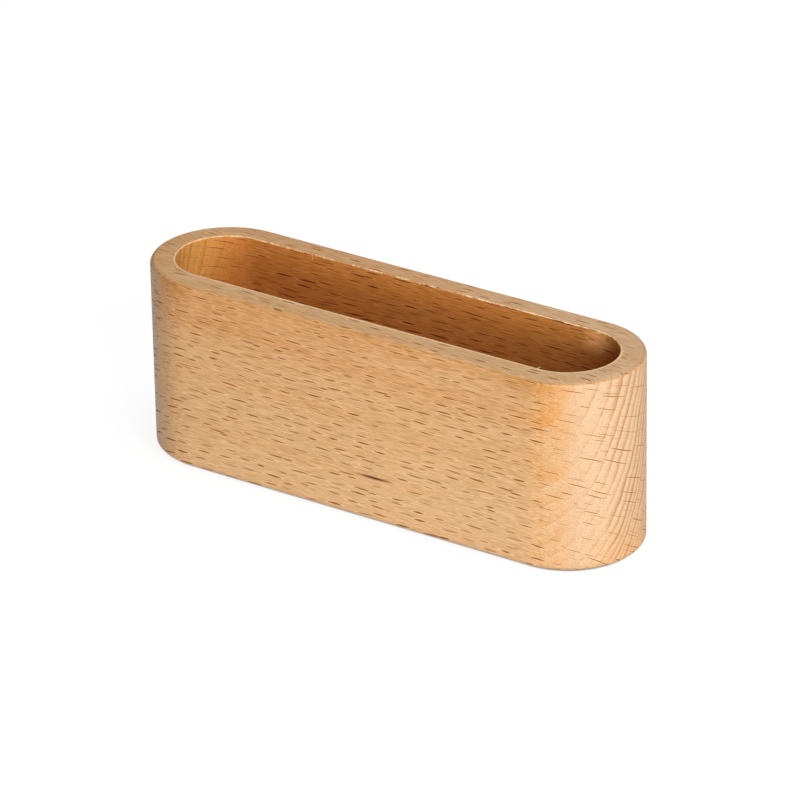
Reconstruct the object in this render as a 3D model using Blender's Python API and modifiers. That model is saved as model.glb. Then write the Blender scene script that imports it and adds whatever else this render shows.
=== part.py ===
"""A business card box: one block of beech with a round-ended pocket, on four rubber feet.

Metres, +Z up. The origin is the middle of the footprint, on the surface that the feet stand on.
+X runs along the box and the grain, and the face that a reader sees looks along -Y.
"""

from math import cos
from math import pi
from math import radians
from math import sin

import bmesh
import bpy

# The block, and the walls that the pocket leaves standing
BOX_LENGTH = 0.110
BOX_WIDTH = 0.030
BOX_HEIGHT = 0.040
SIDE_WALL = 0.005
END_WALL = 0.005
FLOOR_THICKNESS = 0.010

# Rounded and broken edges of the wood
RIM_EDGE_RADIUS = 0.0010
BASE_EDGE_RADIUS = 0.0015
POCKET_FLOOR_RADIUS = 0.0010
EDGE_BREAK = 0.00025

# The feet, and where they sit in from the block's end and side
FOOT_DIAMETER = 0.0070
FOOT_THICKNESS = 0.0020
FOOT_REVEAL = 0.0004
FOOT_EDGE_RADIUS = 0.0003
FOOT_END_INSET = 0.0170
FOOT_SIDE_INSET = 0.0075

# Room round a foot in its recess, and the film of glue above it
FOOT_CLEARANCE = 0.0003
GLUE_FILM = 0.0003

# How far a cutter runs past the face that it opens
CUTTER_OVERRUN = 0.0050

# Facets of the round forms, and a bevel that follows a true arc
END_FACETS = 32
FOOT_FACETS = 32
EDGE_SEGMENTS = 3
ARC_PROFILE = 0.5
BREAK_SEGMENTS = 1
SHARP_ANGLE = radians(40)
BROKEN_EDGE_ANGLE = radians(60)
FLAT_ANGLE = radians(1)
WELD_DISTANCE = 1e-6

# Finishes: linear colour, roughness
BEECH_COLOUR = (0.69, 0.41, 0.19, 1.0)
BEECH_ROUGHNESS = 0.45
RUBBER_COLOUR = (0.03, 0.028, 0.026, 1.0)
RUBBER_ROUGHNESS = 0.80

# Heights that several pieces share
UNDERSIDE = FOOT_REVEAL
RIM = UNDERSIDE + BOX_HEIGHT
POCKET_FLOOR = UNDERSIDE + FLOOR_THICKNESS
RECESS_ROOF = FOOT_THICKNESS + GLUE_FILM


def clear_scene():
    """Takes away whatever the file opened with."""
    for leftover in list(bpy.data.objects):
        bpy.data.objects.remove(leftover, do_unlink=True)


def new_collection(name):
    collection = bpy.data.collections.new(name)
    bpy.context.scene.collection.children.link(collection)
    return collection


def new_material(name, colour, roughness):
    """A plain, non-metallic finish."""
    material = bpy.data.materials.new(name)
    material.use_nodes = True
    shader = material.node_tree.nodes["Principled BSDF"]
    shader.inputs["Base Color"].default_value = colour
    shader.inputs["Roughness"].default_value = roughness
    shader.inputs["Metallic"].default_value = 0.0
    material.diffuse_color = colour
    return material


def round_ended_outline(length, width):
    """The corners of a slot-shaped outline: two straight sides joined by half circles."""
    radius = width / 2
    centre = length / 2 - radius
    corners = []
    for end, start_angle in ((1, -pi / 2), (-1, pi / 2)):
        for step in range(END_FACETS + 1):
            angle = start_angle + pi * step / END_FACETS
            corners.append((end * centre + radius * cos(angle), radius * sin(angle)))
    return corners


def round_ended_block(name, collection, length, width, bottom, top):
    """A mesh object of the slot-shaped outline, standing from bottom to top."""
    corners = round_ended_outline(length, width)
    outline = bpy.data.curves.new(name + "_outline", "CURVE")
    outline.dimensions = "2D"
    outline.fill_mode = "BOTH"
    outline.extrude = (top - bottom) / 2
    spline = outline.splines.new("POLY")
    spline.points.add(len(corners) - 1)
    for point, (x, y) in zip(spline.points, corners):
        point.co = (x, y, 0.0, 1.0)
    spline.use_cyclic_u = True
    drawn = bpy.data.objects.new(name + "_outline", outline)
    drawn.location.z = (bottom + top) / 2
    collection.objects.link(drawn)
    bpy.context.view_layer.update()
    solid_mesh = bpy.data.meshes.new_from_object(drawn.evaluated_get(bpy.context.evaluated_depsgraph_get()))
    solid_mesh.name = name
    shape = bmesh.new()
    shape.from_mesh(solid_mesh)
    bmesh.ops.remove_doubles(shape, verts=shape.verts, dist=WELD_DISTANCE)
    bmesh.ops.dissolve_limit(shape, angle_limit=FLAT_ANGLE, verts=shape.verts, edges=shape.edges)
    bmesh.ops.recalc_face_normals(shape, faces=shape.faces)
    shape.to_mesh(solid_mesh)
    shape.free()
    block = bpy.data.objects.new(name, solid_mesh)
    block.matrix_world = drawn.matrix_world
    collection.objects.link(block)
    bpy.data.objects.remove(drawn, do_unlink=True)
    bpy.data.curves.remove(outline)
    return block


def upright_cylinder(name, collection, diameter, bottom, top, x, y):
    """A closed cylinder mesh object, standing from bottom to top at x and y."""
    mesh = bpy.data.meshes.new(name)
    shape = bmesh.new()
    bmesh.ops.create_cone(
        shape,
        cap_ends=True,
        segments=FOOT_FACETS,
        radius1=diameter / 2,
        radius2=diameter / 2,
        depth=top - bottom,
    )
    shape.to_mesh(mesh)
    shape.free()
    cylinder = bpy.data.objects.new(name, mesh)
    cylinder.location = (x, y, (bottom + top) / 2)
    collection.objects.link(cylinder)
    return cylinder


def round_flat_end(piece, end, radius):
    """Rounds the edge of the piece's top (end 1) or bottom (end -1) face."""
    shape = bmesh.new()
    shape.from_mesh(piece.data)
    caps = [face for face in shape.faces if face.normal.z * end > cos(FLAT_ANGLE)]
    rim = {edge for cap in caps for edge in cap.edges}
    bmesh.ops.bevel(
        shape,
        geom=list(rim),
        offset=radius,
        segments=EDGE_SEGMENTS,
        profile=ARC_PROFILE,
        affect="EDGES",
    )
    shape.to_mesh(piece.data)
    shape.free()


def cut(piece, cutter):
    """Takes the cutter's shape out of the piece, and keeps the cutter as a guide."""
    cutter.hide_render = True
    cutter.display_type = "WIRE"
    modifier = piece.modifiers.new("cut_" + cutter.name, "BOOLEAN")
    modifier.operation = "DIFFERENCE"
    modifier.solver = "EXACT"
    modifier.object = cutter


def shade_round(piece):
    piece.data.shade_smooth()
    piece.data.set_sharp_from_angle(angle=SHARP_ANGLE)


def foot_places():
    """Each foot's name and the middle of its place under the block."""
    along = BOX_LENGTH / 2 - FOOT_END_INSET
    across = BOX_WIDTH / 2 - FOOT_SIDE_INSET
    for row, y in (("front", -across), ("rear", across)):
        for side, x in (("left", -along), ("right", along)):
            yield f"foot_{row}_{side}", x, y


def build_block(parts, cutters, origin, beech):
    """The wooden block, with its pocket and the four foot recesses."""
    block = round_ended_block("beech_block", parts, BOX_LENGTH, BOX_WIDTH, UNDERSIDE, RIM)
    round_flat_end(block, 1, RIM_EDGE_RADIUS)
    round_flat_end(block, -1, BASE_EDGE_RADIUS)
    pocket = round_ended_block(
        "pocket_cutter",
        cutters,
        BOX_LENGTH - 2 * END_WALL,
        BOX_WIDTH - 2 * SIDE_WALL,
        POCKET_FLOOR,
        RIM + CUTTER_OVERRUN,
    )
    round_flat_end(pocket, -1, POCKET_FLOOR_RADIUS)
    cut(block, pocket)
    for name, x, y in foot_places():
        recess = upright_cylinder(
            name + "_recess_cutter",
            cutters,
            FOOT_DIAMETER + 2 * FOOT_CLEARANCE,
            UNDERSIDE - CUTTER_OVERRUN,
            RECESS_ROOF,
            x,
            y,
        )
        cut(block, recess)
    edge_break = block.modifiers.new("edge_break", "BEVEL")
    edge_break.width = EDGE_BREAK
    edge_break.segments = BREAK_SEGMENTS
    edge_break.limit_method = "ANGLE"
    edge_break.angle_limit = BROKEN_EDGE_ANGLE
    shade_round(block)
    block.data.materials.append(beech)
    block.parent = origin


def build_feet(parts, origin, rubber):
    """Four rubber discs, glued into their recesses and standing out below the block."""
    for name, x, y in foot_places():
        foot = upright_cylinder(name, parts, FOOT_DIAMETER, 0.0, FOOT_THICKNESS, x, y)
        round_flat_end(foot, -1, FOOT_EDGE_RADIUS)
        shade_round(foot)
        foot.data.materials.append(rubber)
        foot.parent = origin


clear_scene()
card_box = new_collection("business_card_box")
cutting_tools = new_collection("business_card_box_cutters")
box_origin = bpy.data.objects.new("card_box_origin", None)
card_box.objects.link(box_origin)
build_block(card_box, cutting_tools, box_origin, new_material("oiled_beech", BEECH_COLOUR, BEECH_ROUGHNESS))
build_feet(card_box, box_origin, new_material("black_rubber", RUBBER_COLOUR, RUBBER_ROUGHNESS))
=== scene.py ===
"""A business card box of solid beech on four rubber feet, dressed for a studio picture."""

from math import cos
from math import pi
from math import radians
from math import sin

import bmesh
import bpy
from mathutils import Matrix
from mathutils import Vector


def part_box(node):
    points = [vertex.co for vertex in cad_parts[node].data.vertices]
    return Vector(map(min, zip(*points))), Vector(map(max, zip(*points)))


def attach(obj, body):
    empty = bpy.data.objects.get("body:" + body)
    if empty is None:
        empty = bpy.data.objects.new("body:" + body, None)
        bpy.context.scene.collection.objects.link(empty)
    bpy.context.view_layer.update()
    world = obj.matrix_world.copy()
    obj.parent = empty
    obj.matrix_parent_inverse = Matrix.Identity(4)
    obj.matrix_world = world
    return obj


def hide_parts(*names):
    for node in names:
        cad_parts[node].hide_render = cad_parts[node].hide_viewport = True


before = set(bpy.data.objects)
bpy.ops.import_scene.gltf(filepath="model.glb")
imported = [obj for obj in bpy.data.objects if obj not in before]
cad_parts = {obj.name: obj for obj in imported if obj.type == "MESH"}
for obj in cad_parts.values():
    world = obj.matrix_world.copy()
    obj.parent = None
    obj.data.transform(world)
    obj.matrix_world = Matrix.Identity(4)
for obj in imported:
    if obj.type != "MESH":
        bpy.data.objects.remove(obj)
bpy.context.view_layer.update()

# The block is one piece of solid beech with the grain along its length.
# A router has sunk the round-ended pocket into it from the top, down to a thick floor.
# Its outer edges are rounded over, and the edge of the pocket's mouth is only broken with sandpaper.
block_low, block_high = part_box("beech_block")
underside = block_low.z
rim = block_high.z
half_width = block_high.y
end_centre = block_high.x - half_width
side_wall = 0.005
half_pocket = half_width - side_wall
floor_thickness = 0.010
pocket_floor = underside + floor_thickness
rim_round = 0.0010
base_round = 0.0015
floor_round = 0.0010
mouth_break = 0.00025
round_segments = 6
break_segments = 3
end_steps = 60
cuts_along = 100
weld = 1e-6


def select_where(test):
    """Selects the vertices that pass the test, and what lies between them, on the mesh in edit mode."""
    bpy.ops.mesh.select_all(action="DESELECT")
    mesh = bpy.context.object.data
    shape = bmesh.from_edit_mesh(mesh)
    for vertex in shape.verts:
        vertex.select_set(test(vertex.co))
    shape.select_flush(True)
    bmesh.update_edit_mesh(mesh)


# The section of one wall and half the floor, drawn at the middle of the right-hand end
wall_section = [
    (0.0, pocket_floor),
    (-half_pocket, pocket_floor),
    (-half_pocket, rim),
    (-half_width, rim),
    (-half_width, underside),
    (0.0, underside),
]
bpy.ops.object.select_all(action="DESELECT")
bpy.ops.mesh.primitive_plane_add(size=side_wall, location=(end_centre, *wall_section[0]))
block = bpy.context.object
block.name = "milled_beech_block"
bpy.ops.object.transform_apply(location=True, rotation=True, scale=True)
bpy.ops.object.mode_set(mode="EDIT")
bpy.ops.mesh.merge(type="CENTER")
for (y, z), (next_y, next_z) in zip(wall_section, wall_section[1:]):
    bpy.ops.mesh.extrude_region_move(TRANSFORM_OT_translate={"value": (0.0, next_y - y, next_z - z)})

# Its corners are rounded as the real edges are
rounded_corners = [
    (wall_section[1], floor_round, round_segments),
    (wall_section[2], mouth_break, break_segments),
    (wall_section[3], rim_round, round_segments),
    (wall_section[4], base_round, round_segments),
]
for (y, z), radius, segments in rounded_corners:
    corner = Vector((end_centre, y, z))
    select_where(lambda co: (co - corner).length < weld)
    bpy.ops.mesh.bevel(offset=radius, segments=segments, affect="VERTICES")

# The straight run goes to the middle of the box, and the round end is a quarter turn
bpy.ops.mesh.select_all(action="SELECT")
bpy.ops.mesh.extrude_region_move(TRANSFORM_OT_translate={"value": (-end_centre, 0.0, 0.0)})
bpy.ops.mesh.select_all(action="DESELECT")
shape = bmesh.from_edit_mesh(block.data)
for edge in shape.edges:
    edge.select_set(abs(edge.verts[0].co.x - edge.verts[1].co.x) > weld)
bmesh.update_edit_mesh(block.data)
bpy.ops.mesh.subdivide(number_cuts=cuts_along)


def run_order(vertex):
    """The order of the straight run: its right end, the middle of the box, then the cuts, edge by edge."""
    x, y, z = vertex.co
    in_middle = x < weld
    is_cut = not in_middle and x < end_centre - weld
    return (is_cut, in_middle, y, z, -x)


# Extruding leaves the new edges, and so the cuts along them, in an order that changes from run to run.
# The mouth is worn at random further down, vertex by vertex, so the vertices are put in a fixed order here.
shape = bmesh.from_edit_mesh(block.data)
for index, vertex in enumerate(sorted(shape.verts, key=run_order)):
    vertex.index = index
shape.verts.sort()
bmesh.update_edit_mesh(block.data)
select_where(lambda co: abs(co.x - end_centre) < weld)
bpy.ops.mesh.spin(steps=end_steps, angle=-pi / 2, center=(end_centre, 0.0, 0.0), axis=(0.0, 0.0, 1.0))
bpy.ops.object.mode_set(mode="OBJECT")
mirror = block.modifiers.new("other_three_quarters", "MIRROR")
mirror.use_axis = (True, True, False)
mirror.merge_threshold = weld
bpy.ops.object.modifier_apply(modifier=mirror.name)
bpy.ops.object.mode_set(mode="EDIT")
bpy.ops.mesh.select_all(action="SELECT")
bpy.ops.mesh.remove_doubles(threshold=weld)
bpy.ops.mesh.normals_make_consistent(inside=False)


def pocket_distance(co):
    """How far a place lies outside the pocket's straight wall, seen from above."""
    return Vector((max(abs(co.x) - end_centre, 0.0), co.y)).length - half_pocket


def on_mouth_edge(co):
    """Whether a place lies on the broken edge of the mouth, between the wall and the rim."""
    return co.z > rim - 2 * mouth_break and weld < pocket_distance(co) < mouth_break - weld


# The router left the edge of the mouth a little uneven, and tore it along the back, left of the middle
mouth_wear = 0.00006
mouth_seed = 4
torn_wear = 0.00016
torn_seed = 9
torn_from = -0.038
torn_to = 0.010
worn_places = [
    (on_mouth_edge, mouth_wear, mouth_seed),
    (lambda co: on_mouth_edge(co) and co.y > 0.0 and torn_from < co.x < torn_to, torn_wear, torn_seed),
]
for place_test, wear, seed in worn_places:
    select_where(place_test)
    bpy.ops.transform.translate(value=(0.0, 0.0, -wear))
    bpy.ops.transform.vertex_random(offset=wear, seed=seed)
bpy.ops.object.mode_set(mode="OBJECT")

# Four shallow recesses for the feet are drilled into the underside
foot_names = ["foot_front_left", "foot_front_right", "foot_rear_left", "foot_rear_right"]
foot_gap = 0.0003
drill_facets = 64


def foot_place(foot_name):
    """Where the middle of a foot lies, at the height that the box stands on."""
    foot_low, foot_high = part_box(foot_name)
    return ((foot_low.x + foot_high.x) / 2, (foot_low.y + foot_high.y) / 2, 0.0)


for foot_name in foot_names:
    foot_low, foot_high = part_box(foot_name)
    recess_roof = foot_high.z + foot_gap
    bpy.ops.object.select_all(action="DESELECT")
    bpy.ops.mesh.primitive_cylinder_add(
        vertices=drill_facets,
        radius=(foot_high.x - foot_low.x) / 2 + foot_gap,
        depth=2 * recess_roof,
        location=foot_place(foot_name),
    )
    drill = bpy.context.object
    bpy.context.view_layer.objects.active = block
    recess = block.modifiers.new("recess_" + foot_name, "BOOLEAN")
    recess.operation = "DIFFERENCE"
    recess.object = drill
    bpy.ops.object.modifier_apply(modifier=recess.name)
    bpy.data.objects.remove(drill, do_unlink=True)

bpy.ops.object.select_all(action="DESELECT")
block.select_set(True)
bpy.context.view_layer.objects.active = block
smooth_below = radians(35)
bpy.ops.object.shade_smooth_by_angle(angle=smooth_below)
even_shading = block.modifiers.new("even_shading", "WEIGHTED_NORMAL")
even_shading.keep_sharp = True
bpy.ops.object.modifier_apply(modifier=even_shading.name)


def linear(hex_colour):
    """An sRGB hex colour as the linear colour that a shader takes."""
    channels = [int(hex_colour[place:place + 2], 16) / 255 for place in (1, 3, 5)]
    return [c / 12.92 if c <= 0.04045 else ((c + 0.055) / 1.055) ** 2.4 for c in channels] + [1.0]


def set_inputs(tree, node, inputs):
    """Sets a node's inputs to values or links them to other nodes. From and To take the ends of a range."""
    for name, value in inputs.items():
        if name in ("From", "To"):
            set_inputs(tree, node, {name + " Min": value[0], name + " Max": value[1]})
            continue
        if isinstance(name, str):
            socket = next(socket for socket in node.inputs if socket.name == name and socket.enabled)
        else:
            socket = node.inputs[name]
        if isinstance(value, bpy.types.Node):
            value = next(output for output in value.outputs if output.enabled)
        if isinstance(value, bpy.types.NodeSocket):
            tree.links.new(value, socket)
        else:
            socket.default_value = value


def add_node(tree, kind, inputs=(), **settings):
    """Adds a node with its settings and its inputs, which are named or counted."""
    node = tree.nodes.new("ShaderNode" + kind)
    for name, value in settings.items():
        setattr(node, name, value)
    set_inputs(tree, node, dict(inputs))
    return node


millimetres = 1000.0
fading = (1.0, 0.0)
noise_middle = 0.5


def add_place(tree):
    """The place on a piece in millimetres."""
    object_place = add_node(tree, "TexCoord").outputs["Object"]
    return add_node(tree, "VectorMath", {0: object_place, "Scale": millimetres}, operation="SCALE")


def add_line_distance(tree, place):
    """How far a place in millimetres lies from the line between the middles of the two round ends."""
    parts = add_node(tree, "SeparateXYZ", {0: place})
    past_end = add_node(tree, "Math", {0: parts.outputs["X"]}, operation="ABSOLUTE")
    past_end = add_node(tree, "Math", {0: past_end, 1: end_centre * millimetres}, operation="SUBTRACT")
    past_end = add_node(tree, "Math", {0: past_end, 1: 0.0}, operation="MAXIMUM")
    beside = add_node(tree, "CombineXYZ", {0: past_end, 1: parts.outputs["Y"]})
    return add_node(tree, "VectorMath", {0: beside}, operation="LENGTH")


def add_patch(tree, place, middle, half_size):
    """A value of 1 round a middle that fades to 0 at a half size along each axis, in millimetres."""
    patch_fade = (0.2, 1.0)
    offset = add_node(tree, "VectorMath", {0: place, 1: middle}, operation="SUBTRACT")
    offset = add_node(tree, "VectorMath", {0: offset, 1: half_size}, operation="DIVIDE")
    offset = add_node(tree, "VectorMath", {0: offset}, operation="LENGTH")
    return add_node(
        tree,
        "MapRange",
        {"Value": offset, "From": patch_fade, "To": fading},
        interpolation_type="SMOOTHSTEP",
    )


# Oiled beech, planed and sanded: a warm tan with short dark ray flecks lying along the grain,
# growth rings that show as thin upright lines where the round ends cut across the grain,
# and a satin surface. The pattern is solid, as in real wood, so every face shows its own cut.
beech = bpy.data.materials.new("oiled_beech")
beech.use_nodes = True
tree = beech.node_tree

# Of the pairs below, those that end in turn or tilt are ranges of a face's direction, those in run are
# ranges of places in millimetres, and those in part are ranges of a ring, from its start to its end

# Places in millimetres, with the grain running in slow waves
wave_length = (55.0, 20.0, 20.0)
wave_height = (0.0, 2.0, 2.0)
place = add_place(tree)
sides = add_node(tree, "SeparateXYZ", {0: place})
slow = add_node(tree, "VectorMath", {0: place, 1: wave_length}, operation="DIVIDE")
slow = add_node(tree, "TexNoise", {"Vector": slow, "Scale": 1.0, "Detail": 1.0})
slow = add_node(tree, "VectorMath", {0: slow.outputs["Color"], 1: [noise_middle] * 3}, operation="SUBTRACT")
waved = add_node(tree, "VectorMath", {0: slow, 1: wave_height, 2: place}, operation="MULTIPLY_ADD")

# How far each face turns to the end of the grain, and whether it stands upright or lies flat.
# At the right-hand end the corner of the cut is sharp, as the painted edge of a reflection.
reflection_edge_turn = (0.18, 0.28)
soft_turn = (0.3, 1.0)
end_turn = (0.6, 0.95)
upright_tilt = (0.15, 0.5)
flat_tilt = 0.7
normal = add_node(tree, "NewGeometry").outputs["Normal"]
to_right = add_node(tree, "SeparateXYZ", {0: normal}).outputs["X"]
facing = add_node(tree, "VectorMath", {0: normal}, operation="ABSOLUTE")
facing = add_node(tree, "SeparateXYZ", {0: facing})
to_end = facing.outputs["X"]
tilted = facing.outputs["Z"]
# Painted reflection edge: at the right-hand end the end colour starts sharply
cut_and_reflection_edge = add_node(
    tree, "MapRange", {"Value": to_right, "From": reflection_edge_turn}, interpolation_type="SMOOTHSTEP"
)
soft_cut = add_node(tree, "MapRange", {"Value": to_end, "From": soft_turn}, interpolation_type="SMOOTHSTEP")
upright = add_node(tree, "MapRange", {"Value": tilted, "From": upright_tilt, "To": fading})
cut_and_reflection_edge = add_node(tree, "Math", {0: cut_and_reflection_edge, 1: upright}, operation="MULTIPLY")
soft_cut = add_node(tree, "Math", {0: soft_cut, 1: upright}, operation="MULTIPLY")
slanted = add_node(tree, "Math", {0: cut_and_reflection_edge, 1: soft_cut}, operation="MAXIMUM")
end_grain = add_node(tree, "MapRange", {"Value": to_end, "From": end_turn}, interpolation_type="SMOOTHSTEP")
flat = add_node(tree, "Math", {0: tilted, 1: flat_tilt}, operation="GREATER_THAN")
not_flat = add_node(tree, "Math", {0: 1.0, 1: flat}, operation="SUBTRACT")

# Along the grain, round the tree and out from its heart: the heart lay in front of the box, above its rim
heart = (0.0, -117.0, 72.0)
heart_distance = 115.0
across_grain = (0.0, 1.0, 1.0)
from_heart = add_node(tree, "VectorMath", {0: waved, 1: heart}, operation="SUBTRACT")
heart_sides = add_node(tree, "SeparateXYZ", {0: from_heart})
along_grain = heart_sides.outputs["X"]
across = add_node(tree, "VectorMath", {0: from_heart, 1: across_grain}, operation="MULTIPLY")
outward = add_node(tree, "VectorMath", {0: across}, operation="LENGTH")
angle = add_node(
    tree, "Math", {0: heart_sides.outputs["Z"], 1: heart_sides.outputs["Y"]}, operation="ARCTAN2"
)
round_tree = add_node(tree, "Math", {0: angle, 1: heart_distance}, operation="MULTIPLY")
wood = add_node(tree, "CombineXYZ", {0: along_grain, 1: round_tree, 2: outward})

# Where the routed pocket, its round ends and the broken edge of its mouth are
wall_run = (0.02, 0.12)
pocket_end_turn = (0.5, 0.95)
from_wall = add_line_distance(tree, place)
from_wall = add_node(tree, "Math", {0: from_wall, 1: half_pocket * millimetres}, operation="SUBTRACT")
inside_floor = (pocket_floor + underside) / 2 * millimetres
above_floor = add_node(tree, "Math", {0: sides.outputs["Z"], 1: inside_floor}, operation="GREATER_THAN")
pocket = add_node(tree, "MapRange", {"Value": from_wall, "From": wall_run, "To": fading})
pocket = add_node(tree, "Math", {0: pocket, 1: above_floor}, operation="MULTIPLY")
not_pocket = add_node(tree, "Math", {0: 1.0, 1: pocket}, operation="SUBTRACT")
pocket_end = add_node(tree, "MapRange", {"Value": to_end, "From": pocket_end_turn})
pocket_end = add_node(tree, "Math", {0: pocket_end, 1: pocket}, operation="MULTIPLY")
below_rim = add_node(tree, "Math", {0: rim * millimetres, 1: sides.outputs["Z"]}, operation="SUBTRACT")
from_mouth = add_node(tree, "Math", {0: from_wall, 1: below_rim}, operation="MAXIMUM")

# The wood pales from the rim down and towards the right, in broad streaks along the grain,
# and carries painted shade a little before the right-hand corner. On the flat rim a painted sheen
# makes it paler and greyer, most of all at the back.
warm_wood = linear("#D1985F")
pale_wood = linear("#DCB07F")
streak_size = (70.0, 5.0, 5.0)
streak_noise = (0.3, 0.7)
streak_paling = (-0.26, 0.26)
pale_run = (-27.5, -66.7)
pale_length = 230.0
flat_sheen_paling = 0.4
dim_run = (10.0, 40.0)
dim_tones = (1.0, 0.96)
flat_run = (-12.0, 12.0)
sheen_front = (0.96, 1.03, 1.16, 1.0)
sheen_back = (0.98, 1.11, 1.40, 1.0)
streaks = add_node(tree, "VectorMath", {0: wood, 1: streak_size}, operation="DIVIDE")
streaks = add_node(tree, "TexNoise", {"Vector": streaks, "Scale": 1.0, "Detail": 3.0})
streaks = add_node(tree, "MapRange", {"Value": streaks, "From": streak_noise, "To": streak_paling})
paling = add_node(tree, "MapRange", {"Value": round_tree, "From": pale_run})
# Painted sheen: the flat rim is paled further
paling = add_node(tree, "Math", {0: flat, 1: flat_sheen_paling, 2: paling}, operation="MULTIPLY_ADD")
rightward = add_node(tree, "Math", {0: along_grain, 1: pale_length}, operation="DIVIDE")
paling = add_node(tree, "Math", {0: paling, 1: rightward}, operation="ADD")
paling = add_node(tree, "Math", {0: paling, 1: streaks}, operation="ADD", use_clamp=True)
colour = add_node(tree, "Mix", {"Factor": paling, "A": warm_wood, "B": pale_wood}, data_type="RGBA")
# Painted shade: a little darker before the right-hand corner
painted_corner_shade = add_node(tree, "MapRange", {"Value": along_grain, "From": dim_run, "To": dim_tones})
colour = add_node(tree, "VectorMath", {0: colour, "Scale": painted_corner_shade}, operation="SCALE")
# Painted sheen: the flat rim is greyed, most of all at the back
rearward = add_node(tree, "MapRange", {"Value": sides.outputs["Y"], "From": flat_run})
painted_sheen_tint = add_node(tree, "Mix", {"Factor": rearward, "A": sheen_front, "B": sheen_back}, data_type="RGBA")
flat_with_painted_sheen = add_node(tree, "VectorMath", {0: colour, 1: painted_sheen_tint}, operation="MULTIPLY")
colour = add_node(tree, "Mix", {"Factor": flat, "A": colour, "B": flat_with_painted_sheen}, data_type="RGBA")

# Growth rings, about 2.5 mm apart at the front and 1 mm at the back, where the tree was older.
# They are counted as a power of the distance from the heart, which wanders a little, less part of a ring.
ring_measure = 81.8
ring_power = 6.0
ring_start = 0.41
wander_size = (60.0, 9.0, 4.0)
ring_wander = 1.8
last_part = (0.95, 1.0)
wander = add_node(tree, "VectorMath", {0: wood, 1: wander_size}, operation="DIVIDE")
wander = add_node(tree, "TexNoise", {"Vector": wander, "Scale": 1.0, "Detail": 4.0})
wandered = add_node(tree, "Math", {0: wander, 1: ring_wander, 2: outward}, operation="MULTIPLY_ADD")
rings = add_node(tree, "Math", {0: wandered, 1: ring_measure}, operation="DIVIDE")
rings = add_node(tree, "Math", {0: rings, 1: ring_power}, operation="POWER")
rings = add_node(tree, "Math", {0: rings, 1: ring_start}, operation="SUBTRACT")
ring_phase = add_node(tree, "Math", {0: rings}, operation="FRACT")
line_fall = add_node(
    tree,
    "MapRange",
    {"Value": ring_phase, "From": last_part, "To": fading},
    interpolation_type="SMOOTHSTEP",
)

# Round the corner the cut turns pale: partly the end grain's own tone, partly a painted highlight on the
# right-hand end and painted shade on the left. The highlight's edge is painted as orange ring bands: every
# second ring grows orange there before it ends, lower down each ring does so a little, and farther round
# the rings run from cream to peach. The orange starts faintly on the front, and comes back at the foot of
# the end grain.
corner_grain_and_highlight = linear("#D9B78E")
end_grain_light_and_shade = linear("#CAA987")
orange_beside_highlight = linear("#CC8634")
cut_turn = (0.2, 0.6)
pair_share = 0.5
pair_part = (0.0, 0.8)
pair_tints = (0.55, 0.85)
pair_last_part = (0.97, 1.0)
pair_fall_shares = (1.0, 0.6)
growth_part = (0.05, 0.95)
each_tints = (0.2, 0.5)
orange_turn = (0.38, 0.78)
high_paling = (0.35, 0.9)
high_shares = (1.0, 0.35)
peach_share = 0.2
front_run = (36.0, 43.0)
front_shares = (0.0, 0.35)
corner_turn = (0.13, 0.24)
low_run = (14.0, 3.0)
low_tints = (0.0, 0.3)
# Painted highlight on the right-hand end and painted shade on the left, over the end grain's own tone
bare_end = add_node(tree, "Math", {0: slanted, 1: not_pocket}, operation="MULTIPLY")
past_corner = add_node(tree, "MapRange", {"Value": to_end, "From": cut_turn})
cut_grain_light_and_shade = add_node(tree, "Mix", {"Factor": past_corner, "A": corner_grain_and_highlight, "B": end_grain_light_and_shade}, data_type="RGBA")
colour = add_node(tree, "Mix", {"Factor": bare_end, "A": colour, "B": cut_grain_light_and_shade}, data_type="RGBA")
pair_phase = add_node(tree, "Math", {0: rings, 1: pair_share}, operation="MULTIPLY")
pair_phase = add_node(tree, "Math", {0: pair_phase}, operation="FRACT")
orange = add_node(tree, "MapRange", {"Value": pair_phase, "From": pair_part, "To": pair_tints})
pair_fall = add_node(tree, "MapRange", {"Value": pair_phase, "From": pair_last_part, "To": pair_fall_shares})
orange = add_node(tree, "Math", {0: orange, 1: pair_fall}, operation="MULTIPLY")
ring_growth = add_node(tree, "MapRange", {"Value": ring_phase, "From": growth_part})
ring_growth = add_node(tree, "Math", {0: ring_growth, 1: line_fall}, operation="MULTIPLY")
orange_each = add_node(tree, "MapRange", {"Value": ring_growth, "To": each_tints})
orange_fade = add_node(
    tree,
    "MapRange",
    {"Value": to_end, "From": orange_turn, "To": fading},
    interpolation_type="SMOOTHSTEP",
)
orange_high = add_node(tree, "MapRange", {"Value": paling, "From": high_paling, "To": high_shares})
orange = add_node(tree, "Math", {0: orange, 1: orange_high}, operation="MULTIPLY")
orange = add_node(tree, "Math", {0: orange, 1: orange_each}, operation="MAXIMUM")
orange = add_node(tree, "Math", {0: orange, 1: orange_fade}, operation="MULTIPLY")
peach = add_node(tree, "Math", {0: ring_growth, 1: peach_share}, operation="MULTIPLY")
orange = add_node(tree, "Math", {0: orange, 1: peach}, operation="MAXIMUM")
before_corner = add_node(tree, "MapRange", {"Value": along_grain, "From": front_run, "To": front_shares})
round_corner = add_node(
    tree, "MapRange", {"Value": to_right, "From": corner_turn}, interpolation_type="SMOOTHSTEP"
)
orange_reach = add_node(tree, "Math", {0: round_corner, 1: before_corner}, operation="MAXIMUM")
orange_reach = add_node(tree, "Math", {0: orange_reach, 1: upright}, operation="MULTIPLY")
orange = add_node(tree, "Math", {0: orange, 1: orange_reach}, operation="MULTIPLY")
orange_low = add_node(tree, "MapRange", {"Value": sides.outputs["Z"], "From": low_run, "To": low_tints})
orange_low = add_node(tree, "Math", {0: orange_low, 1: end_grain}, operation="MULTIPLY")
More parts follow.
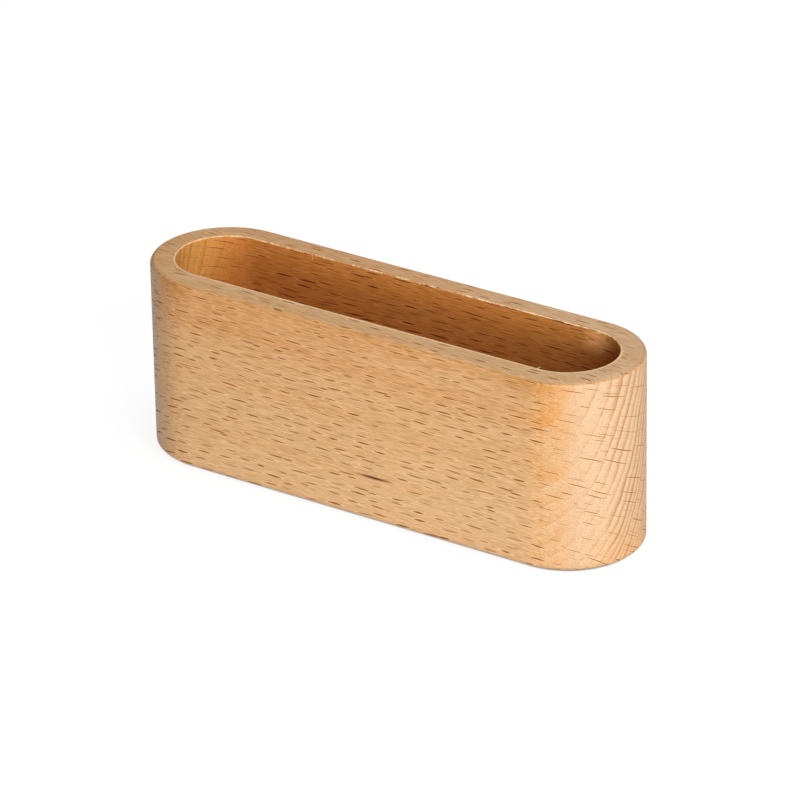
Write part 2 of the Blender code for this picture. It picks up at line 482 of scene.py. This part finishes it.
orange = add_node(tree, "Math", {0: orange, 1: orange_low}, operation="MAXIMUM")
orange = add_node(tree, "Math", {0: orange, 1: not_pocket}, operation="MULTIPLY")
# The orange ring bands paint the edge of the highlight
colour = add_node(tree, "Mix", {"Factor": orange, "A": colour, "B": orange_beside_highlight}, data_type="RGBA")

# Just below the rim, where the front turns into each end, the colour is tinted golden in a patch.
# Each gives its middle and its half size in millimetres, and its strongest tint.
gold_wood = linear("#BF813C")
gold_patches = [
    ((-42.0, -14.5, 39.5), (6.5, 4.0, 3.6), 0.75),
    ((40.0, -15.0, 39.5), (9.0, 4.0, 4.5), 0.5),
]
for gold_middle, gold_half_size, gold_tint in gold_patches:
    gold = add_patch(tree, place, gold_middle, gold_half_size)
    gold = add_node(tree, "Math", {0: gold, 1: gold_tint}, operation="MULTIPLY")
    gold = add_node(tree, "Math", {0: gold, 1: not_flat}, operation="MULTIPLY")
    colour = add_node(tree, "Mix", {"Factor": gold, "A": colour, "B": gold_wood}, data_type="RGBA")

# Farther round, the late lines come out, first thin and then with a darker band before each.
# Inside the pocket they show at half strength, and every second ring ends in a broader band.
late_wood = linear("#8E5626")
line_part = (0.80, 0.93)
line_break_size = (2.0, 2.0, 2.0)
line_break_noise = (0.35, 0.6)
line_tints = (0.15, 0.85)
band_part = (0.4, 0.95)
band_tints = (0.0, 0.85)
band_turn = (0.82, 0.97)
ring_strengths = (0.3, 1.0)
pocket_ring_shares = (1.0, 0.5)
inner_part = (0.75, 0.95)
inner_tints = (0.0, 0.45)
line_rise = add_node(
    tree, "MapRange", {"Value": ring_phase, "From": line_part}, interpolation_type="SMOOTHSTEP"
)
breaks = add_node(tree, "VectorMath", {0: place, 1: line_break_size}, operation="DIVIDE")
breaks = add_node(tree, "TexNoise", {"Vector": breaks, "Scale": 1.0, "Detail": 2.0})
breaks = add_node(tree, "MapRange", {"Value": breaks, "From": line_break_noise, "To": line_tints})
late_line = add_node(tree, "Math", {0: line_rise, 1: line_fall}, operation="MULTIPLY")
late_line = add_node(tree, "Math", {0: late_line, 1: breaks}, operation="MULTIPLY")
band_rise = add_node(tree, "MapRange", {"Value": ring_phase, "From": band_part, "To": band_tints})
band_share = add_node(
    tree, "MapRange", {"Value": to_end, "From": band_turn}, interpolation_type="SMOOTHSTEP"
)
band = add_node(tree, "Math", {0: band_rise, 1: band_share}, operation="MULTIPLY")
band = add_node(tree, "Math", {0: band, 1: line_fall}, operation="MULTIPLY")
ring_number = add_node(tree, "Math", {0: rings}, operation="FLOOR")
ring_strength = add_node(tree, "TexWhiteNoise", {"W": ring_number}, noise_dimensions="1D")
ring_strength = add_node(tree, "MapRange", {"Value": ring_strength, "To": ring_strengths})
ring_mark = add_node(tree, "Math", {0: late_line, 1: band}, operation="MAXIMUM")
ring_mark = add_node(tree, "Math", {0: ring_mark, 1: ring_strength}, operation="MULTIPLY")
ring_mark = add_node(tree, "Math", {0: ring_mark, 1: end_grain}, operation="MULTIPLY")
pocket_fades = add_node(tree, "MapRange", {"Value": pocket, "To": pocket_ring_shares})
ring_mark = add_node(tree, "Math", {0: ring_mark, 1: pocket_fades}, operation="MULTIPLY")
inner_band = add_node(tree, "MapRange", {"Value": pair_phase, "From": inner_part, "To": inner_tints})
inner_band = add_node(tree, "Math", {0: inner_band, 1: line_fall}, operation="MULTIPLY")
inner_band = add_node(tree, "Math", {0: inner_band, 1: pocket_end}, operation="MULTIPLY")
ring_mark = add_node(tree, "Math", {0: ring_mark, 1: inner_band}, operation="MAXIMUM")
colour = add_node(tree, "Mix", {"Factor": ring_mark, "A": colour, "B": late_wood}, data_type="RGBA")

# Fine fibres along the grain, and the open pores that speckle the end grain.
# Single fibres and pores are too fine to show, so both are drawn several times as coarse as they are.
fibre_size = (3.2, 0.18, 0.18)
fibre_light = (0.62, 0.45, 0.34)
fibre_shares = (1.0, 0.6)
pore_size = (0.25, 0.25, 0.25)
pore_turn = (0.1, 0.6)
pore_depths = (0.15, 0.28)
fibres = add_node(tree, "VectorMath", {0: wood, 1: fibre_size}, operation="DIVIDE")
fibres = add_node(tree, "TexNoise", {"Vector": fibres, "Scale": 1.0, "Detail": 2.0})
fibre_tone = add_node(tree, "Math", {0: fibres, 1: noise_middle}, operation="SUBTRACT")
fibre_share = add_node(tree, "MapRange", {"Value": slanted, "To": fibre_shares})
fibre_tone = add_node(tree, "Math", {0: fibre_tone, 1: fibre_share}, operation="MULTIPLY")
colour = add_node(tree, "VectorMath", {0: fibre_tone, 1: fibre_light, 2: colour}, operation="MULTIPLY_ADD")
pores = add_node(tree, "VectorMath", {0: place, 1: pore_size}, operation="DIVIDE")
pores = add_node(tree, "TexNoise", {"Vector": pores, "Scale": 1.0, "Detail": 0.0})
pore_depth = add_node(tree, "MapRange", {"Value": to_end, "From": pore_turn, "To": pore_depths})
pore_tone = add_node(tree, "Math", {0: pores, 1: noise_middle}, operation="SUBTRACT")
pore_tone = add_node(tree, "Math", {0: pore_tone, 1: pore_depth, 2: 1.0}, operation="MULTIPLY_ADD")
colour = add_node(tree, "VectorMath", {0: colour, "Scale": pore_tone}, operation="SCALE")

# Wood rays: thin lenses that run outward from the heart, a few millimetres at a time. They show as dark
# dashes on the sides, as longer, finer lines on the ends, and as shorter dashes on the flat rim and floor.
ray_run = 6.0
ray_reach = 0.85
ray_scatter = 100.0
flat_length = 0.85
inside_length = 1.25
end_thickness = 0.65
flat_thickness = 1.25
flat_left_out = 0.5
pocket_end_tint = 0.5
crosswise = add_node(tree, "Mix", {"Factor": flat, "A": round_tree, "B": outward})
through = add_node(tree, "Mix", {"Factor": flat, "A": outward, "B": round_tree})
ray_place = add_node(tree, "CombineXYZ", {0: along_grain, 1: crosswise})
runs = add_node(tree, "Math", {0: through, 1: ray_run}, operation="DIVIDE")
run_number = add_node(tree, "Math", {0: runs}, operation="FLOOR")
run_part = add_node(tree, "Math", {0: runs}, operation="FRACT")
run_shift = add_node(tree, "TexWhiteNoise", {"W": run_number}, noise_dimensions="1D").outputs["Color"]
run_shift = add_node(tree, "VectorMath", {0: run_shift, "Scale": ray_scatter}, operation="SCALE")
shorter_flat = add_node(tree, "MapRange", {"Value": flat, "To": (1.0, flat_length)})
longer_inside = add_node(tree, "MapRange", {"Value": pocket, "To": (1.0, inside_length)})
ray_length = add_node(tree, "Math", {0: shorter_flat, 1: longer_inside}, operation="MULTIPLY")
thinner_end = add_node(tree, "MapRange", {"Value": slanted, "To": (1.0, end_thickness)})
thicker_flat = add_node(tree, "MapRange", {"Value": flat, "To": (1.0, flat_thickness)})
ray_thickness = add_node(tree, "Math", {0: thinner_end, 1: thicker_flat}, operation="MULTIPLY")
fewer_flat = add_node(tree, "Math", {0: flat, 1: flat_left_out}, operation="MULTIPLY")
fainter = add_node(tree, "MapRange", {"Value": pocket_end, "To": (1.0, pocket_end_tint)})

# Each kind gives its spacing along the grain and across it, its shortest and longest half length,
# its half thickness, in millimetres, and its faintest and strongest tint
ray_kinds = [
    ("bold", (5.2, 1.35), (1.1, 2.6), 0.165, (0.45, 1.0)),
    ("small", (4.0, 1.4), (0.6, 1.3), 0.10, (0.1, 0.5)),
]
ray_disorder = 0.8
ray_slants = (-0.04, 0.04)
run_middles = (0.25, 0.75)
lens_edge = (0.0, 0.12)
halo_edge = (-1.2, -0.2)
halo_light = (0.10, 0.075, 0.055)
# Inside the pocket the rays take a darker, redder colour as painted shade
ray_outside = linear("#8C5200")
ray_in_pocket_shade = linear("#6C2600")
ray_colour = add_node(tree, "Mix", {"Factor": pocket, "A": ray_outside, "B": ray_in_pocket_shade}, data_type="RGBA")
ray_marks = []
for ray_name, (gap_along, gap_across), half_lengths, half_thickness, tints in ray_kinds:
    cells = add_node(tree, "VectorMath", {0: ray_place, 1: (gap_along, gap_across, 1.0)}, operation="DIVIDE")
    cells = add_node(tree, "VectorMath", {0: cells, 1: run_shift}, operation="ADD")
    nearest = add_node(
        tree,
        "TexVoronoi",
        {"Vector": cells, "Scale": 1.0, "Randomness": ray_disorder},
        label=ray_name,
        voronoi_dimensions="2D",
    )
    offset = add_node(tree, "VectorMath", {0: cells, 1: nearest.outputs["Position"]}, operation="SUBTRACT")
    offset = add_node(tree, "VectorMath", {0: offset, 1: (gap_along, gap_across, 0.0)}, operation="MULTIPLY")
    offset = add_node(tree, "SeparateXYZ", {0: offset})
    offset_along = offset.outputs["X"]
    offset_across = offset.outputs["Y"]
    chances = nearest.outputs["Color"]
    chance = add_node(tree, "SeparateXYZ", {0: chances})
    other_chance = add_node(tree, "TexWhiteNoise", {"Vector": chances}, noise_dimensions="3D")
    half_length = add_node(tree, "MapRange", {"Value": chance.outputs["X"], "To": half_lengths})
    half_length = add_node(tree, "Math", {0: half_length, 1: ray_length}, operation="MULTIPLY")
    along = add_node(tree, "Math", {0: offset_along, 1: half_length}, operation="DIVIDE")
    along = add_node(tree, "Math", {0: along, 1: along}, operation="MULTIPLY")
    slant = add_node(tree, "MapRange", {"Value": chance.outputs["Y"], "To": ray_slants})
    beside = add_node(tree, "Math", {0: offset_along, 1: slant, 2: offset_across}, operation="MULTIPLY_ADD")
    beside = add_node(tree, "Math", {0: beside}, operation="ABSOLUTE")
    beside = add_node(tree, "Math", {0: beside, 1: half_thickness}, operation="DIVIDE")
    beside = add_node(tree, "Math", {0: beside, 1: ray_thickness}, operation="DIVIDE")
    run_middle = add_node(tree, "MapRange", {"Value": chance.outputs["Z"], "To": run_middles})
    out = add_node(tree, "Math", {0: run_part, 1: run_middle}, operation="SUBTRACT")
    out = add_node(tree, "Math", {0: out, 1: ray_reach}, operation="DIVIDE")
    out = add_node(tree, "Math", {0: out, 1: out}, operation="MULTIPLY")
    lens = add_node(tree, "Math", {0: 1.0, 1: along}, operation="SUBTRACT")
    lens = add_node(tree, "Math", {0: lens, 1: out}, operation="SUBTRACT")
    lens = add_node(tree, "Math", {0: lens, 1: beside}, operation="SUBTRACT")
    tint = add_node(tree, "MapRange", {"Value": other_chance, "To": tints})
    tint = add_node(tree, "Math", {0: tint, 1: fainter}, operation="MULTIPLY")
    shown = add_node(tree, "Math", {0: chance.outputs["X"], 1: fewer_flat}, operation="GREATER_THAN")
    tint = add_node(tree, "Math", {0: tint, 1: shown}, operation="MULTIPLY")
    halo = add_node(tree, "MapRange", {"Value": lens, "From": halo_edge}, interpolation_type="SMOOTHSTEP")
    halo = add_node(tree, "Math", {0: halo, 1: tint}, operation="MULTIPLY")
    colour = add_node(tree, "VectorMath", {0: halo, 1: halo_light, 2: colour}, operation="MULTIPLY_ADD")
    ray = add_node(tree, "MapRange", {"Value": lens, "From": lens_edge}, interpolation_type="SMOOTHSTEP")
    ray = add_node(tree, "Math", {0: ray, 1: tint}, operation="MULTIPLY")
    colour = add_node(tree, "Mix", {"Factor": ray, "A": colour, "B": ray_colour}, data_type="RGBA")
    ray_marks.append(ray)

# One dark mineral streak lies near the foot of the front
mineral_middle = (4.9, -15.0, 10.0)
mineral_half_size = (5.8, 3.0, 0.42)
mineral_colour = linear("#662C08")
mineral = add_patch(tree, place, mineral_middle, mineral_half_size)
colour = add_node(tree, "Mix", {"Factor": mineral, "A": colour, "B": mineral_colour}, data_type="RGBA")

# The routed pocket carries painted shade: its long walls are a deeper orange than its round ends,
# and the ends carry a painted light gradient, a little deeper just below the rim. A patch below the rim,
# where the back turns into the right-hand end, is paler.
painted_wall_shade = (0.97, 0.76, 0.45, 1.0)
painted_end_light_high = (0.83, 0.81, 0.50, 1.0)
painted_end_light_low = (1.06, 1.05, 0.67, 1.0)
high_run = (0.5, 5.5)
paler_patch_tint = (1.35, 1.3, 1.2, 1.0)
pale_patch_middle = (40.5, 10.0, 38.0)
pale_patch_half_size = (5.0, 3.5, 4.0)
# Painted light on the round ends, a little deeper just below the rim
deeper = add_node(tree, "MapRange", {"Value": below_rim, "From": high_run})
painted_end_light = add_node(tree, "Mix", {"Factor": deeper, "A": painted_end_light_high, "B": painted_end_light_low}, data_type="RGBA")
pocket_light_and_shade = add_node(tree, "Mix", {"Factor": pocket_end, "A": painted_wall_shade, "B": painted_end_light}, data_type="RGBA")
pale_patch = add_patch(tree, place, pale_patch_middle, pale_patch_half_size)
pocket_light_and_shade = add_node(tree, "Mix", {"Factor": pale_patch, "A": pocket_light_and_shade, "B": paler_patch_tint}, data_type="RGBA")
# Painted shade and light inside the pocket
pocket_light_and_shade = add_node(tree, "VectorMath", {0: colour, 1: pocket_light_and_shade}, operation="MULTIPLY")
colour = add_node(tree, "Mix", {"Factor": pocket, "A": colour, "B": pocket_light_and_shade}, data_type="RGBA")

# The broken edge of the mouth is a thin, uneven pale line, partly rubbed wood and partly painted highlight,
# narrower at the back and fainter at the left
worn_and_highlit_wood = linear("#F8D5A8")
chip_size = (1.2, 1.2, 1.2)
chip_noise = (0.42, 0.68)
back_widths = (0.15, 0.33)
near_widths = (0.62, 0.85)
core_share = 0.6
back_slant = -0.12
back_run = (-3.0, 3.0)
left_run = (-48.0, -36.0)
left_shares = (0.4, 1.0)
to_back = add_node(
    tree, "Math", {0: sides.outputs["X"], 1: back_slant, 2: sides.outputs["Y"]}, operation="MULTIPLY_ADD"
)
to_back = add_node(tree, "MapRange", {"Value": to_back, "From": back_run})
chips = add_node(tree, "VectorMath", {0: place, 1: chip_size}, operation="DIVIDE")
chips = add_node(tree, "TexNoise", {"Vector": chips, "Scale": 1.0, "Detail": 2.0})
back_width = add_node(tree, "MapRange", {"Value": chips, "From": chip_noise, "To": back_widths})
near_width = add_node(tree, "MapRange", {"Value": chips, "From": chip_noise, "To": near_widths})
pale_line_width = add_node(tree, "Mix", {"Factor": to_back, "A": near_width, "B": back_width})
pale_line_core = add_node(tree, "Math", {0: pale_line_width, 1: core_share}, operation="MULTIPLY")
# Partly rubbed wood, partly painted highlight along the mouth
pale_line = add_node(tree, "MapRange", {"Value": from_mouth, "From": (pale_line_core, pale_line_width), "To": fading})
pale_line_left = add_node(tree, "MapRange", {"Value": sides.outputs["X"], "From": left_run, "To": left_shares})
pale_line = add_node(tree, "Math", {0: pale_line, 1: pale_line_left}, operation="MULTIPLY")
colour = add_node(tree, "Mix", {"Factor": pale_line, "A": colour, "B": worn_and_highlit_wood}, data_type="RGBA")

# Round the outside of the rim the rounded edge is darkened as painted shade, most of all across the
# right-hand end
edge_shade_turn = (0.0, 0.2)
edge_shade_shares = (0.10, 0.30)
edge_rise_tilt = (0.25, 0.6)
edge_fall_tilt = (0.93, 0.995)
clear_of_mouth = 1.0
# Painted shade on the rim's rounded outer edge
painted_edge_shade = add_node(tree, "MapRange", {"Value": to_right, "From": edge_shade_turn, "To": edge_shade_shares})
edge_rise = add_node(tree, "MapRange", {"Value": tilted, "From": edge_rise_tilt})
edge_fall = add_node(tree, "MapRange", {"Value": tilted, "From": edge_fall_tilt, "To": fading})
past_mouth = add_node(tree, "Math", {0: from_wall, 1: clear_of_mouth}, operation="GREATER_THAN")
painted_edge_shade = add_node(tree, "Math", {0: painted_edge_shade, 1: edge_rise}, operation="MULTIPLY")
painted_edge_shade = add_node(tree, "Math", {0: painted_edge_shade, 1: edge_fall}, operation="MULTIPLY")
painted_edge_shade = add_node(tree, "Math", {0: painted_edge_shade, 1: past_mouth}, operation="MULTIPLY")
edge_tone = add_node(tree, "Math", {0: 1.0, 1: painted_edge_shade}, operation="SUBTRACT")
colour = add_node(tree, "VectorMath", {0: colour, "Scale": edge_tone}, operation="SCALE")

# Sanding leaves the rays a little below the surface, and the fibres as the finest ridges.
# The satin is duller on the end grain and on the flat rim, and dull in the rays and the mineral streak.
satin_noise = (0.25, 0.75)
satin_roughness = (0.36, 0.46)
end_roughness = 0.7
flat_roughness = 0.75
dull_roughness = 0.95
ridge_share = 0.35
ray_depth = 0.00002
oil_ior = 1.45
oil_shine = 0.3
marked = add_node(tree, "Math", {0: ray_marks[0], 1: ray_marks[1]}, operation="MAXIMUM")
dull = add_node(tree, "Math", {0: marked, 1: mineral}, operation="MAXIMUM")
roughness = add_node(tree, "MapRange", {"Value": fibres, "From": satin_noise, "To": satin_roughness})
roughness = add_node(tree, "Mix", {"Factor": end_grain, "A": roughness, "B": end_roughness})
roughness = add_node(tree, "Mix", {"Factor": flat, "A": roughness, "B": flat_roughness})
roughness = add_node(tree, "Mix", {"Factor": dull, "A": roughness, "B": dull_roughness})
height = add_node(tree, "Math", {0: fibres, 1: ridge_share}, operation="MULTIPLY")
height = add_node(tree, "Math", {0: height, 1: marked}, operation="SUBTRACT")
bump = add_node(tree, "Bump", {"Height": height, "Strength": 1.0, "Distance": ray_depth})
beech_finish = {
    "Base Color": colour,
    "Roughness": roughness,
    "Normal": bump,
    "IOR": oil_ior,
    "Specular IOR Level": oil_shine,
}
set_inputs(tree, tree.nodes["Principled BSDF"], beech_finish)

block.data.materials.clear()
block.data.materials.append(beech)
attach(block, "root")
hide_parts("beech_block")

# Torn fibres: a few slivers of the wood's own fibre still cling to the edge of the mouth,
# where the router tore the beech instead of cutting it. Each tapers to a point from a root in the edge.
torn_root = mouth_break / 2
sliver_sides = 6
sliver_steps = 4
sliver_taper = 0.68

# Each sliver gives its place along the mouth, the side that it hangs from (1 is the back),
# its radius and its reach
slivers = [
    (-0.0263, 1, 0.00008, (0.00010, -0.00030, -0.00140)),
    (-0.0351, 1, 0.00007, (-0.00020, -0.00020, -0.00060)),
    (-0.0300, 1, 0.00006, (0.00025, -0.00025, -0.00030)),
    (0.0386, -1, 0.00008, (-0.00025, 0.00060, -0.00002)),
    (0.0396, -1, 0.00012, (0.00025, 0.00120, -0.00002)),
]
bpy.ops.object.select_all(action="DESELECT")
for number, (x, side, radius, reach) in enumerate(slivers):
    root = Vector((x, side * (half_pocket + torn_root), rim - torn_root))
    reach = Vector(reach)
    bpy.ops.mesh.primitive_circle_add(
        vertices=sliver_sides,
        radius=radius,
        fill_type="NGON",
        location=root,
        rotation=reach.to_track_quat("Z", "Y").to_euler(),
    )
    if number == 0:
        torn_fibres = bpy.context.object
        torn_fibres.name = "torn_mouth_fibres"
        bpy.ops.object.transform_apply(location=True, rotation=True, scale=True)
        bpy.ops.object.mode_set(mode="EDIT")
        bpy.ops.mesh.select_all(action="SELECT")
    for step in range(1, sliver_steps + 1):
        bpy.ops.mesh.extrude_region_move(TRANSFORM_OT_translate={"value": reach / sliver_steps})
        bpy.ops.transform.resize(
            value=[sliver_taper] * 3,
            center_override=root + reach * step / sliver_steps,
        )
    bpy.ops.mesh.merge(type="CENTER")
bpy.ops.mesh.select_all(action="SELECT")
bpy.ops.mesh.normals_make_consistent(inside=False)
bpy.ops.object.mode_set(mode="OBJECT")
bpy.ops.object.shade_smooth_by_angle(angle=smooth_below)

# Raw beech fibre, torn and not oiled: nearly white straw, dull, with darker threads along it
raw_fibre = bpy.data.materials.new("raw_beech_fibre")
raw_fibre.use_nodes = True
tree = raw_fibre.node_tree
straw = linear("#F0DDBC")
darker_straw = linear("#D2AE80")
straw_roughness = 0.7
thread_size = (0.05, 0.05, 0.4)
threads = add_node(tree, "VectorMath", {0: add_place(tree), 1: thread_size}, operation="DIVIDE")
threads = add_node(tree, "TexNoise", {"Vector": threads, "Scale": 1.0, "Detail": 1.0})
colour = add_node(tree, "Mix", {"Factor": threads, "A": straw, "B": darker_straw}, data_type="RGBA")
set_inputs(tree, tree.nodes["Principled BSDF"], {"Base Color": colour, "Roughness": straw_roughness})
torn_fibres.data.materials.append(raw_fibre)
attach(torn_fibres, "root")

# The feet are four small discs of black rubber, moulded with a round lower edge and a shallow dish below.
# They are glued into the drilled recesses and stand out by less than half a millimetre.
foot_low, foot_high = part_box(foot_names[0])
foot_radius = (foot_high.x - foot_low.x) / 2
foot_thickness = foot_high.z - foot_low.z
foot_edge_round = 0.0003
foot_edge_segments = 4
foot_facets = 64
ring_face = 0.0009
dish_slope = 0.0004
dish_depth = 0.0002
straight_down = -0.99


def select_face_below():
    """Selects the lowest face that looks straight down, on the mesh in edit mode."""
    bpy.ops.mesh.select_all(action="DESELECT")
    mesh = bpy.context.object.data
    shape = bmesh.from_edit_mesh(mesh)
    level = [face for face in shape.faces if face.normal.z < straight_down]
    min(level, key=lambda face: face.calc_center_median().z).select_set(True)
    bmesh.update_edit_mesh(mesh)


bpy.ops.object.select_all(action="DESELECT")
bpy.ops.mesh.primitive_cylinder_add(
    vertices=foot_facets,
    radius=foot_radius,
    depth=foot_thickness,
    location=(0.0, 0.0, foot_low.z + foot_thickness / 2),
)
moulded_foot = bpy.context.object
bpy.ops.object.transform_apply(location=True, rotation=True, scale=True)
bpy.ops.object.mode_set(mode="EDIT")
select_where(lambda co: co.z < foot_low.z + weld)
bpy.ops.mesh.bevel(offset=foot_edge_round, segments=foot_edge_segments, affect="EDGES")
select_face_below()
bpy.ops.mesh.inset(thickness=ring_face)
bpy.ops.mesh.inset(thickness=dish_slope, depth=-dish_depth)
bpy.ops.object.mode_set(mode="OBJECT")
bpy.ops.object.shade_smooth_by_angle(angle=smooth_below)

# Moulded rubber: nearly black, matt, with the fine grain of the mould
rubber = bpy.data.materials.new("moulded_black_rubber")
rubber.use_nodes = True
tree = rubber.node_tree
black = linear("#1B1918")
dusty_black = linear("#2B2826")
rubber_roughness = (0.70, 0.90)
dust_size = 1.5
mould_grain = 0.12
mould_depth = 0.00001
place = add_place(tree)
dust = add_node(tree, "TexNoise", {"Vector": place, "Scale": 1.0 / dust_size, "Detail": 3.0})
grain = add_node(tree, "TexNoise", {"Vector": place, "Scale": 1.0 / mould_grain, "Detail": 1.0})
colour = add_node(tree, "Mix", {"Factor": dust, "A": black, "B": dusty_black}, data_type="RGBA")
roughness = add_node(tree, "MapRange", {"Value": grain, "To": rubber_roughness})
bump = add_node(tree, "Bump", {"Height": grain, "Strength": 1.0, "Distance": mould_depth})
rubber_finish = {"Base Color": colour, "Roughness": roughness, "Normal": bump}
set_inputs(tree, tree.nodes["Principled BSDF"], rubber_finish)
moulded_foot.data.materials.append(rubber)

for foot_name in foot_names:
    bpy.ops.object.select_all(action="DESELECT")
    moulded_foot.select_set(True)
    bpy.context.view_layer.objects.active = moulded_foot
    bpy.ops.object.duplicate()
    foot = bpy.context.object
    foot.name = "rubber_" + foot_name
    foot.location = foot_place(foot_name)
    bpy.ops.object.transform_apply(location=True, rotation=True, scale=True)
    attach(foot, "root")
    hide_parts(foot_name)
bpy.data.objects.remove(moulded_foot, do_unlink=True)

# The stage: a plain white floor that runs out of the picture, and a white studio round it.
# Only the camera and the reflections see their own white. All other light on the wood comes from the lamps,
# straight or off the floor.
floor_size = 12.0
bpy.ops.object.select_all(action="DESELECT")
bpy.ops.mesh.primitive_plane_add(size=floor_size, location=(0.0, 0.0, 0.0))
floor = bpy.context.object
floor.name = "studio_floor"


def add_seen_directly(tree):
    """A value of 1 for rays from the camera and from reflections and clear surfaces, and 0 for all others."""
    path = add_node(tree, "LightPath")
    from_camera = path.outputs["Is Camera Ray"]
    seen = add_node(tree, "Math", {0: from_camera, 1: path.outputs["Is Glossy Ray"]}, operation="MAXIMUM")
    return add_node(tree, "Math", {0: seen, 1: path.outputs["Is Transmission Ray"]}, operation="MAXIMUM")


# Seen directly, most of the paper's white is its own, so that shadows stay faint.
# Close under the box it has less of its own, so a thin dark line stays in the gap.
paper = bpy.data.materials.new("white_paper")
paper.use_nodes = True
tree = paper.node_tree
white = (1.0, 1.0, 1.0, 1.0)
paper_white = linear("#F2F2F2")
paper_seen = linear("#6A6A6A")
paper_roughness = 0.9
gap_run = (13.3, 13.8)
paper_glows = (0.25, 0.88)
seen = add_seen_directly(tree)
colour = add_node(tree, "Mix", {"Factor": seen, "A": paper_white, "B": paper_seen}, data_type="RGBA")
below = add_line_distance(tree, add_place(tree))
glow = add_node(tree, "MapRange", {"Value": below, "From": gap_run, "To": paper_glows})
glow = add_node(tree, "Math", {0: seen, 1: glow}, operation="MULTIPLY")
paper_finish = {
    "Base Color": colour,
    "Roughness": paper_roughness,
    "Emission Color": white,
    "Emission Strength": glow,
}
set_inputs(tree, tree.nodes["Principled BSDF"], paper_finish)
floor.data.materials.append(paper)

world = bpy.data.worlds.new("white_studio")
world.use_nodes = True
bpy.context.scene.world = world
tree = world.node_tree
set_inputs(tree, tree.nodes["Background"], {"Color": white, "Strength": add_seen_directly(tree)})

# Softboxes: azimuth from the front towards the right, elevation, distance, width, height, watts,
# and whether it shows in reflections. The one at the back only fills, with no shine on the rim.
block_middle = Vector((0.0, 0.0, (underside + rim) / 2))
softboxes = [
    ("front_softbox", 35.0, 9.0, 0.9, 0.45, 0.22, 2.65, True),
    ("low_key_softbox", 60.0, 9.0, 0.9, 0.45, 0.22, 1.9, True),
    ("key_softbox", 57.0, 27.0, 0.9, 0.45, 0.40, 3.7, True),
    ("side_softbox", 97.0, 27.0, 0.9, 0.45, 0.40, 1.7, True),
    ("top_softbox", 90.0, 80.0, 0.9, 0.50, 0.50, 3.65, True),
    ("back_softbox", 214.7, 8.0, 0.9, 0.45, 0.22, 2.4, False),
]
for name, azimuth, elevation, distance, width, height, watts, shines in softboxes:
    level = cos(radians(elevation))
    direction = Vector((
        sin(radians(azimuth)) * level,
        -cos(radians(azimuth)) * level,
        sin(radians(elevation)),
    ))
    lamp = bpy.data.lights.new(name, "AREA")
    lamp.shape = "RECTANGLE"
    lamp.size = width
    lamp.size_y = height
    lamp.energy = watts
    softbox = bpy.data.objects.new(name, lamp)
    softbox.location = block_middle + direction * distance
    softbox.rotation_euler = direction.to_track_quat("Z", "Y").to_euler()
    softbox.visible_glossy = shines
    bpy.context.scene.collection.objects.link(softbox)

# The camera stands where the photograph was taken from
camera_azimuth = radians(34.72)
camera_elevation = radians(25.74)
camera_roll = radians(-1.02)
camera_distance = 1.115
focal_pixels = 5723
image_pixels = 800
sensor_width = 36.0
far_clip = 50.0
aim_right = 0.00088
aim_down = 0.00094
turned = Matrix.Rotation(camera_azimuth, 3, "Z") @ Matrix.Rotation(pi / 2 - camera_elevation, 3, "X")
turned = turned @ Matrix.Rotation(camera_roll, 3, "Z")
camera_data = bpy.data.cameras.new("photo_camera")
camera_data.sensor_width = sensor_width
camera_data.lens = focal_pixels / image_pixels * sensor_width
camera_data.clip_end = far_clip
camera = bpy.data.objects.new("photo_camera", camera_data)
camera.matrix_world = Matrix.Translation(
    block_middle + turned @ Vector((aim_right, -aim_down, camera_distance))
) @ turned.to_4x4()
bpy.context.scene.collection.objects.link(camera)
bpy.context.scene.camera = camera
bpy.context.scene.view_settings.view_transform = "Standard"
